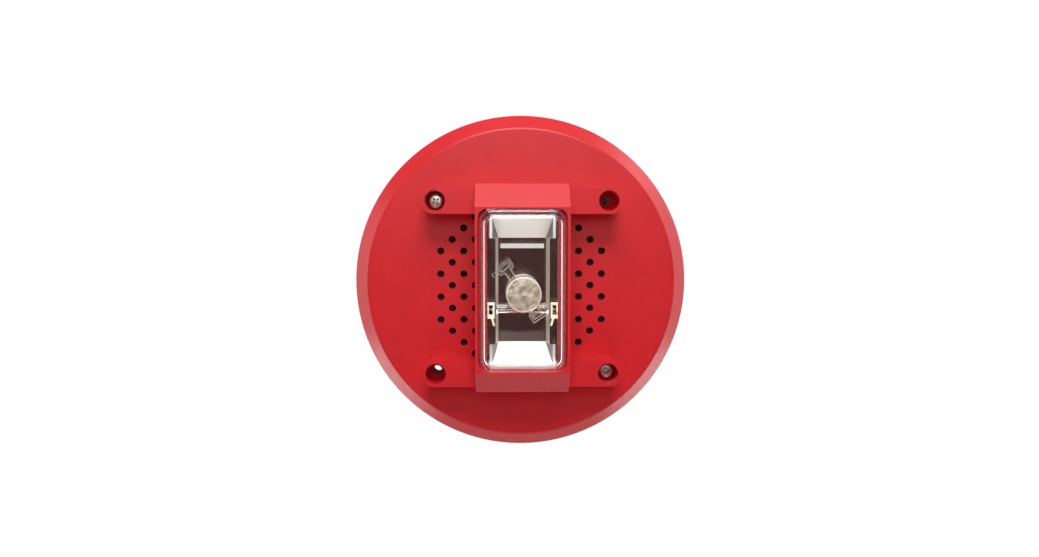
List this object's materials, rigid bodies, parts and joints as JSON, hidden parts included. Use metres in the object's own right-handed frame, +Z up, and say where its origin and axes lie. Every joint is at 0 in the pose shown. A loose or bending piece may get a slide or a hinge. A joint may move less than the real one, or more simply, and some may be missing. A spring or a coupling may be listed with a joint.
{
  "type": "horn strobe",
  "caption": "Wall horn strobe for a fire alarm: round red cover with sound holes, tall strobe frame with a clear lens, and a rear chassis that fits a square wall box.",
  "frame": {"origin": "centre of the square of ear holes, in the wall plane that the cover's rim rests on", "axes": "-Y out of the wall, through the lens; +Z up; +X to the right of someone who faces the strobe"},
  "size_m": [0.1727, 0.0828, 0.1726],
  "materials": {
    "red_plastic": "moulded red, satin",
    "black_plastic": "moulded black, satin",
    "scrim": "fine black screen cloth, bonded stiff",
    "clear_lens": "clear polished plastic",
    "clear_optic": "clear polished plastic",
    "tube_glass": "polished",
    "mirror": "vacuum metallised",
    "seal": "soft seal",
    "zinc_steel": "zinc plated",
    "spring_steel": "rolled",
    "iron": "machined",
    "ferrite": "sintered",
    "cream_plastic": "moulded",
    "white_plastic": "moulded",
    "copper": "enamelled copper wire",
    "board": "solder mask",
    "blue_sleeve": "shrunk sleeve",
    "black_sleeve": "shrunk sleeve",
    "potting": "varnished",
    "chip_epoxy": "moulded",
    "wire_red": "insulation",
    "terminal_green": "moulded",
    "switch_red": "moulded"
  },
  "bodies": {
    "housing": {"cover": "red_plastic", "grille_screen": "scrim", "strobe_bezel": "red_plastic", "bezel_screws": "zinc_steel", "lens": "clear_lens", "lens_gasket": "seal", "reflector": "mirror", "disc_optic": "clear_optic", "flash_tube": "tube_glass", "tube_caps": "spring_steel", "tube_clips": "cream_plastic", "trigger_wire": "copper", "strobe_board": "board", "strobe_board_screws": "zinc_steel", "flash_capacitor": "blue_sleeve", "trigger_coil": "potting", "horn_frame": "black_plastic", "horn_clamp_ring": "spring_steel", "yoke": "iron", "magnet": "ferrite", "bobbin": "cream_plastic", "coil_winding": "copper", "coil_leads": "copper", "horn_screws": "zinc_steel", "main_board": "board", "board_screws": "zinc_steel", "inverter_transformer": "potting", "board_capacitors": "black_sleeve", "board_chips": "chip_epoxy", "strobe_leads": "wire_red", "terminal_block": "terminal_green", "terminal_clamps": "zinc_steel", "terminal_screws": "zinc_steel", "candela_switch": "black_plastic", "tone_switch": "switch_red", "rear_chassis": "black_plastic", "chassis_screws": "zinc_steel"},
    "diaphragm": {"diaphragm": "spring_steel", "armature": "iron"},
    "candela_slider": {"candela_slider": "white_plastic"},
    "tone_lever_1": {"tone_lever_1": "white_plastic"},
    "tone_lever_2": {"tone_lever_2": "white_plastic"},
    "tone_lever_3": {"tone_lever_3": "white_plastic"},
    "tone_lever_4": {"tone_lever_4": "white_plastic"}
  },
  "joints": [
    {"name": "diaphragm_travel", "type": "slide", "parent": "housing", "child": "diaphragm", "axis": [0, -1, 0], "range_m": [-0.00025, 0.00025], "stiffness_N_per_m": 20000},
    {"name": "candela_select", "type": "slide", "parent": "housing", "child": "candela_slider", "axis": [1, 0, 0], "range_m": [0, 0.0075]},
    {"name": "tone_select_1", "type": "slide", "parent": "housing", "child": "tone_lever_1", "axis": [0, 0, 1], "range_m": [0, 0.0016]},
    {"name": "tone_select_2", "type": "slide", "parent": "housing", "child": "tone_lever_2", "axis": [0, 0, 1], "range_m": [0, 0.0016]},
    {"name": "tone_select_3", "type": "slide", "parent": "housing", "child": "tone_lever_3", "axis": [0, 0, 1], "range_m": [0, 0.0016]},
    {"name": "tone_select_4", "type": "slide", "parent": "housing", "child": "tone_lever_4", "axis": [0, 0, 1], "range_m": [0, 0.0016]}
  ]
}
